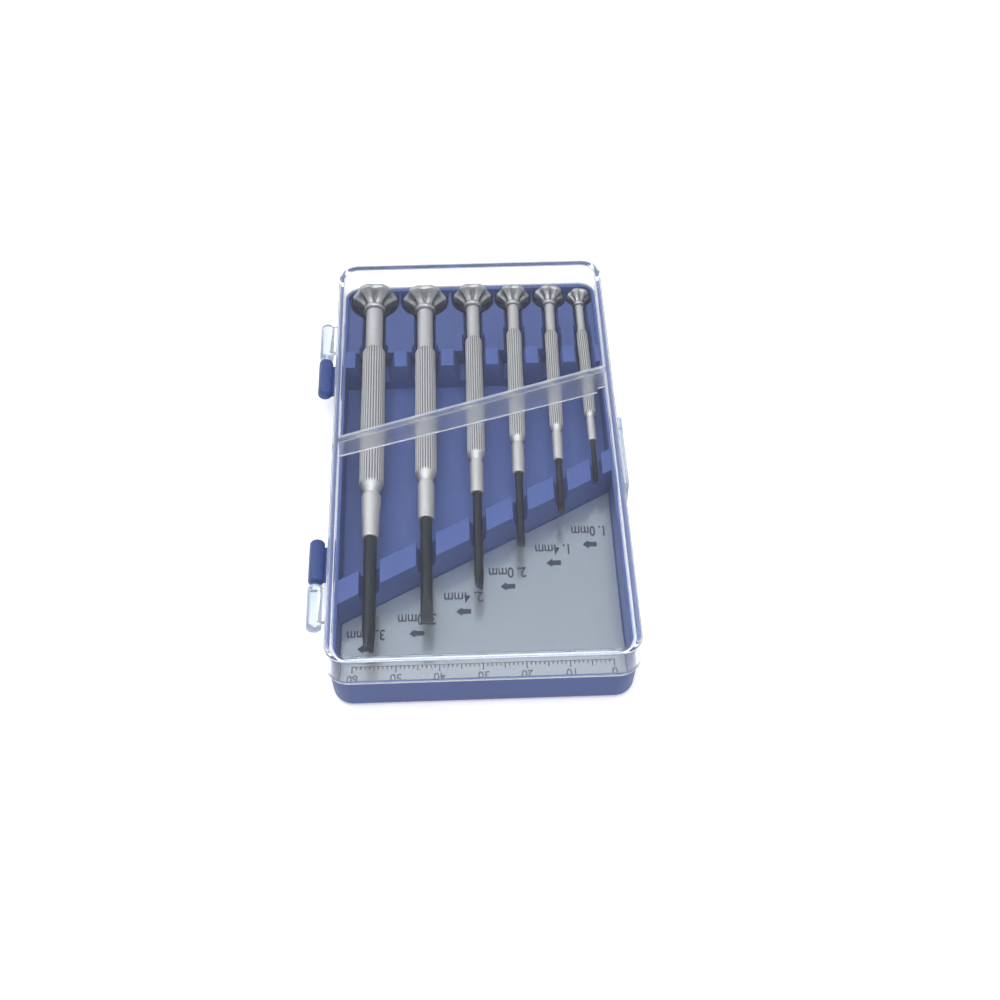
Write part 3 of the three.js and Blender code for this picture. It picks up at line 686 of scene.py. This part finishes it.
# ---- Size card ----
def make_card():
    """The card: across it x runs evenly, and along it y runs from a near edge with rounded corners to the
    slanting rib's face. Its top bows up slightly in the middle, as a sine along it and a squared cosine
    across it."""
    low, high = span("size_card")
    inset, radius = 0.3, 4.2
    x = np.linspace(low[0], high[0], 141)[None]  # enough lines for the corners and the bow
    v = np.linspace(0, 1, 61)[:, None]
    past = np.maximum(abs(x) - (high[0] - radius), 0)
    near = low[1] + radius - np.sqrt(np.maximum(radius**2 - past**2, 0.02))
    far = REST_MIDDLE + REST_SLOPE * x - REST_HALF - inset
    y = near + v * (far - near)
    bow = CARD_BOW * np.sin(np.pi * v) * np.cos(np.pi * x / (2 * high[0])) ** 2
    shape = Shape()
    shape.relief(np.stack([x + 0 * v, y, low[2] + CARD_THICK + bow], -1), low[2] + CARD_LIFT)
    finish_piece(shape.piece("card", CARD), "case", "printed_card", "size_card")


def text_outline(body, height):
    """A line of figures as a flat mesh's points and faces, its lower left corner at the origin."""
    curve = bpy.data.curves.new("figures", "FONT")
    curve.body, curve.size, curve.offset = body, 1.0, 0.012
    holder = bpy.data.objects.new("figures", curve)
    bpy.context.scene.collection.objects.link(holder)
    mesh = bpy.data.meshes.new_from_object(holder.evaluated_get(bpy.context.evaluated_depsgraph_get()))
    points = np.zeros(len(mesh.vertices) * 3)
    mesh.vertices.foreach_get("co", points)
    points = points.reshape(-1, 3)[:, :2]
    faces = [list(p.vertices) for p in mesh.polygons]
    bpy.data.objects.remove(holder)
    points = points - points.min(0)
    return points * height / points[:, 1].max(), faces


def make_print():
    """Size figures and arrows beside the blades, and a plain millimetre scale along the near edge, as a film
    of ink just above the card. The figures read from the heads' end."""
    points, faces, count = [], [], 0
    ink_z = span("size_card")[0][2] + CARD_THICK + CARD_BOW + INK_GAP

    def lay(flat, sides):
        nonlocal count
        points.append(np.column_stack([flat, np.full(len(flat), ink_z)]))
        faces.extend([[i + count for i in side] for side in sides])
        count += len(flat)

    # Each label's words, its left edge, its far edge and its width.
    labels = [("1. 0mm", 22.7, -15.3, 8.3), ("1. 4mm", 13.6, -20.6, 8.2), ("2. 0mm", 2.1, -27.2, 8.9),
              ("2. 4mm", -8.7, -34.1, 9.2), ("3. 0mm", -19.6, -40.0, 8.9), ("3. 8mm", -31.6, -44.2, 9.0)]
    label_height, figure_height, arrow_drop = 3.1, 2.0, 5.6
    head, tail, wide, thin = 1.4, 3.5, 1.3, 0.7
    for words, left, far, width in labels:
        flat, sides = text_outline(words, label_height)
        flat[:, 0] *= width / flat[:, 0].max()
        lay(np.array([left + width, far]) - flat, sides)
        tip_x, arrow_y = left + width * 0.3, far - arrow_drop
        arrow = np.array([(0, 0), (head, -wide), (head, -thin), (tail, -thin), (tail, thin), (head, thin),
                          (head, wide)])
        lay(arrow + [tip_x, arrow_y], [[0, 1, 2, 5, 6], [2, 3, 4, 5]])
    scale_y, scale_length, half = -52.4, 60, 0.14
    for mark in range(scale_length + 1):
        length = 1.9 if mark % 10 == 0 else 1.5 if mark % 5 == 0 else 1.0
        x = scale_length / 2 - mark
        lay(np.array([(x - half, scale_y - length), (x + half, scale_y - length), (x + half, scale_y),
                      (x - half, scale_y)]), [[0, 1, 2, 3]])
        if mark % 10 == 0:
            flat, sides = text_outline(str(mark), figure_height)
            lay(np.array([x + flat[:, 0].max() / 2, scale_y - 2.3]) - flat, sides)
    end, line = scale_length / 2 + 0.2, scale_y + 0.3
    lay(np.array([(-end, scale_y), (end, scale_y), (end, line), (-end, line)]), [[0, 1, 2, 3]])
    mesh = bpy.data.meshes.new("card_print")
    mesh.from_pydata((np.vstack(points) * MM).tolist(), [], faces)
    mesh.materials.append(INK)
    made = bpy.data.objects.new("card_print", mesh)
    bpy.context.scene.collection.objects.link(made)
    finish_piece(made, "case", "printed_card")


# ---- Screwdrivers ----
def make_handle(d):
    """A turned bar with a neck, a fluted grip, a waist and a nose. In the grip the radius is the lesser of
    the turned profile and a ring of even grooves, each a raised cosine to the power 2.2, so that the flutes
    run out on the chamfers."""
    grip, neck, waist = d["grip_r"], d["neck_r"], WAIST_TO_GRIP * d["grip_r"]
    far, near = d["grip"]
    waist_y, (top, tip) = near - WAIST_RUN * grip, d["nose"]
    run = near - waist_y
    grip_end = far - 1.6 * (grip - neck)
    body = eased([(d["nose_y"], tip - 0.12), (d["nose_y"] + 0.12, tip), (waist_y - 0.45, top),
                  (waist_y - 0.15, 0.96 * top), (waist_y - 0.1, waist), (waist_y + 0.15 * run, waist),
                  (near - 0.25 * run, 0.8 * grip), (near, grip * 0.985),
                  (near + 0.25, grip), (grip_end, grip), (far, neck),
                  (d["neck_y"] - 0.15, neck), (d["neck_y"], neck - 0.15)], 0.22, 4)
    more = [np.linspace(near + 0.6, grip_end - 0.6, 12), np.linspace(d["nose_y"] + 0.4, waist_y - 1.2, 4)]
    y = np.sort(np.concatenate([body[:, 0], *more]))[:, None]
    profile = np.interp(y, body[:, 0], body[:, 1])
    points_a_flute = 8
    angle = np.linspace(0, 2 * np.pi, points_a_flute * d["flutes"], endpoint=False)[None]
    pitch = 2 * np.pi * grip / d["flutes"]
    depth = 0.3 * pitch
    groove = ((1 + np.cos(d["flutes"] * angle)) / 2) ** 2.2
    in_grip = ((y > near - 0.4) & (y < far + 0.1)).astype(float)
    radius = np.minimum(profile, np.where(in_grip > 0, grip - depth * groove, profile))
    rows = along_axis(d, y + 0 * angle, radius, angle + 0 * y)
    # Painted shade in the flutes' grooves, passed on as the depth attribute.
    shade = in_grip * groove * (radius > 0.8 * grip)
    shape = Shape()
    end = np.array([d["nose_y"]])[:, None]
    lip = along_axis(d, end + 0 * angle, 0.5 * tip + 0 * angle, angle)
    collar = along_axis(d, np.array([[d["neck_y"]]]) + 0 * angle, 0.5 * neck + 0 * angle, angle)
    shape.tube(np.concatenate([lip, rows, collar]), np.vstack([0 * angle, shade, 0 * angle]))
    finish_piece(shape.piece(f"grip_{d['size']}", NICKEL), f"driver_{d['size']}", "nickel_plate",
                 f"handle_{d['size']}")


def make_blade(d):
    """A round bar ground to two flats. At each place along it the half thickness runs from the radius, where
    the grinding starts, to a share of it at the tip, with the power 1.5 of the distance. The section is two
    arcs and two flats."""
    r, tip = d["blade"], d["tip_y"]
    grind = tip + GRIND_RUN * r
    y = np.concatenate([np.linspace(tip, grind, 16), np.linspace(grind + 0.3, d["nose_y"] + 2, 12)])[:, None]
    run = np.clip((y - tip) / (grind - tip), 0, 1)
    fullest = 0.9999  # of the radius, so that the flats never quite vanish
    half = r * (TIP_THICKNESS + (1 - TIP_THICKNESS) * run**1.5) * fullest
    crease = np.arcsin(half / r)
    arc = np.linspace(-1, 1, 13)[None] * crease
    right = np.stack([r * np.cos(arc), r * np.sin(arc)], -1)
    share = np.linspace(0, 1, 8)[1:-1][None, :, None]
    upper = right[:, -1:] * (1 - share) + right[:, -1:] * [-1, 1] * share
    section = np.concatenate([right, upper, -right, -upper], 1)
    turn = math.radians(d["turns"][1])
    across = section[..., 0] * math.cos(turn) + section[..., 1] * math.sin(turn)
    up = -section[..., 0] * math.sin(turn) + section[..., 1] * math.cos(turn)
    rows = along_axis(d, y + 0 * across, np.hypot(across, up), np.arctan2(-up, across))
    shape = Shape()
    worn = np.exp(-(y - tip) / (0.5 * r)) + 0 * across
    shape.tube(rows, worn)
    finish_piece(shape.piece(f"blade_bar_{d['size']}", OXIDE, 25), f"driver_{d['size']}", "black_oxide_steel",
                 f"blade_{d['size']}")


def make_head(d):
    """A head with six lobes that flares from a round collar. Along it the lobes and the scallops between
    them have a radius each. Round it the radius rises from the scallop's middle with the square of the angle
    up to the lobe, which is round. The section returns through the end's well and the pin's bore. The
    groove behind the collar and the scallops are darkened with painted shade."""
    length = d["end_y"] - d["collar_y"]
    r = d["head"]
    bore, well = d["pin_r"] + RUNNING_GAP, DOME_TO_PIN * d["pin_r"] + RUNNING_GAP
    collar = COLLAR_TO_HEAD * r
    # Share of the length, radius at the lobes, radius in the scallops.
    outside = eased([(0, bore, bore), (0, 0.9 * collar, 0.9 * collar), (0.03, 0.97 * collar, 0.97 * collar),
                     (0.08, collar, collar), (0.15, 0.98 * collar, 0.98 * collar),
                     (0.19, 0.84 * collar, 0.84 * collar), (0.3, 0.46 * r, 0.42 * r),
                     (0.45, 0.56 * r, 0.44 * r), (0.6, 0.76 * r, 0.55 * r), (0.69, 0.95 * r, 0.74 * r),
                     (0.73, r, 0.85 * r), (0.86, 0.995 * r, 0.9 * r), (0.94, 0.96 * r, 0.89 * r),
                     (0.99, 0.88 * r, 0.84 * r), (1.0, 0.78 * r, 0.76 * r), (1.0, well + 0.1, well + 0.1)],
                    0.4)
    inside = [(1 - 0.1 / length, well, well), (1 - WELL_DEPTH / length, well, well),
              (1 - WELL_DEPTH / length, bore, bore), (0.02, bore, bore)]
    share, lobe_r, scallop_r = np.moveaxis(np.vstack([outside, inside])[:, None], -1, 0)
    angle = np.linspace(0, 2 * np.pi, 132, endpoint=False)[None]
    half_lobe = math.pi / 6
    from_hollow = abs(angle % (2 * half_lobe) - half_lobe) / half_lobe
    ridge = np.minimum(from_hollow / SCALLOP_SHARE, 1) ** 2
    radius = scallop_r + (lobe_r - scallop_r) * ridge
    y = d["collar_y"] + share * length
    rows = along_axis(d, y + 0 * angle, radius, angle + math.radians(d["turns"][0]) + 0 * y)
    shape = Shape()
    # Painted shade: half in the groove behind the collar, and most in the middle of each scallop.
    behind_collar = (share > 0.13) & (share < 0.26)
    in_scallop = np.clip((share - 0.2) / 0.06, 0, 1) * np.clip((0.78 - share) / 0.2, 0, 1)
    shape.tube(rows, np.where(behind_collar, 0.5, 0.95 * in_scallop * (1 - 0.7 * ridge)), ring=True)
    finish_piece(shape.piece(f"head_{d['size']}", HEAD_NICKEL, 30), f"head_{d['size']}", "nickel_head",
                 f"swivel_head_{d['size']}")


def make_pin(d):
    """The swivel pin with its domed end, a quarter ellipse over a short rim and a straight shank."""
    low, high = span(f"swivel_pin_{d['size']}")
    dome, rise, rim = DOME_TO_PIN * d["pin_r"], 0.5, 0.25
    angle = np.radians(np.linspace(0, 84, 8))
    cap = np.stack([high[1] - rise + rise * np.sin(angle), dome * np.cos(angle)], -1)
    base = high[1] - rise - rim
    line = np.vstack([[(low[1], 0.8 * d["pin_r"]), (low[1] + 0.2, d["pin_r"]), (base, d["pin_r"]),
                       (base, dome - 0.05), (base + 0.05, dome)], cap])
    y, r = line.T[:, :, None]
    around = np.linspace(0, 2 * np.pi, 36, endpoint=False)[None]
    shape = Shape()
    shape.tube(along_axis(d, y + 0 * around, r + 0 * around, around + 0 * y))
    finish_piece(shape.piece(f"pin_{d['size']}", STEEL), f"driver_{d['size']}", "steel_pin",
                 f"swivel_pin_{d['size']}")


# ---- Studio ----
def make_studio():
    """The surroundings, the pale floor, the lamps and the camera, in metres."""
    scene = bpy.context.scene
    scene.view_settings.view_transform = "Standard"
    scene.world = bpy.data.worlds.new("studio")
    # A pale tent all round, darker towards the front, where metal would mirror the room.
    f = Finish("studio", scene.world)
    direction = f.node("TexCoord", out="Generated")
    towards_front = {0: direction, 1: (0, -0.78, 0.62)}
    front = f.node("VectorMath", {"operation": "DOT_PRODUCT"}, towards_front, out="Value")
    tent = f.blend(front.clamp(0.62, 0.93), (0.53, 0.54, 0.55, 1), (0.12, 0.125, 0.135, 1))
    f.done(f.node("Background", {}, {"Color": tent}), "OutputWorld")

    floor_mesh = bpy.data.meshes.new("floor")
    reach = 6.0
    corners = [(-reach, -reach, 0), (reach, -reach, 0), (reach, reach, 0), (-reach, reach, 0)]
    floor_mesh.from_pydata(corners, [], [(0, 1, 2, 3)])
    f = Finish("pale_floor")
    soft = f.noise(3, detail=1)
    pale = f.blend(soft, (0.95, 0.95, 0.95, 1), (0.97, 0.97, 0.97, 1))
    floor_mesh.materials.append(f.done(f.shade(Base_Color=pale, Roughness=0.9, Emission_Color=(1, 1, 1, 1),
                                               Emission_Strength=0.35)))
    floor = bpy.data.objects.new("floor", floor_mesh)
    scene.collection.objects.link(floor)

    # Soft lamps aimed at the frame's origin: place, size, and power in watts.
    lamps = {"overhead": ((0.0, -0.35, 1.5), 1.3, 15.6), "key": ((-0.5, 0.35, 0.7), 0.35, 1.4)}
    for name, (place, size, power) in lamps.items():
        light = bpy.data.lights.new(name, "AREA")
        light.shape, light.size, light.energy = "SQUARE", size, power
        lamp = bpy.data.objects.new(name, light)
        scene.collection.objects.link(lamp)
        lamp.location = place
        aim = -np.array(place)
        flat = math.hypot(aim[0], aim[1])
        lamp.rotation_euler = (math.pi / 2 + math.atan2(aim[2], flat), 0, math.atan2(-aim[0], aim[1]))

    camera = bpy.data.cameras.new("camera")
    camera.lens, camera.sensor_width = 54.0, 36.0
    camera.clip_start = 0.01
    holder = bpy.data.objects.new("camera", camera)
    scene.collection.objects.link(holder)
    holder.location = (-0.00331, -0.24285, 0.29184)
    down, aside = 50.66, 2.161  # degrees below level, and to the right of straight away
    holder.rotation_euler = (math.radians(90 - down), 0, -math.radians(aside))
    scene.camera = holder


make_studio()
make_tray()
make_card()
make_print()
for driver in DRIVERS.values():
    make_handle(driver)
    make_blade(driver)
    make_head(driver)
    make_pin(driver)
make_lid()
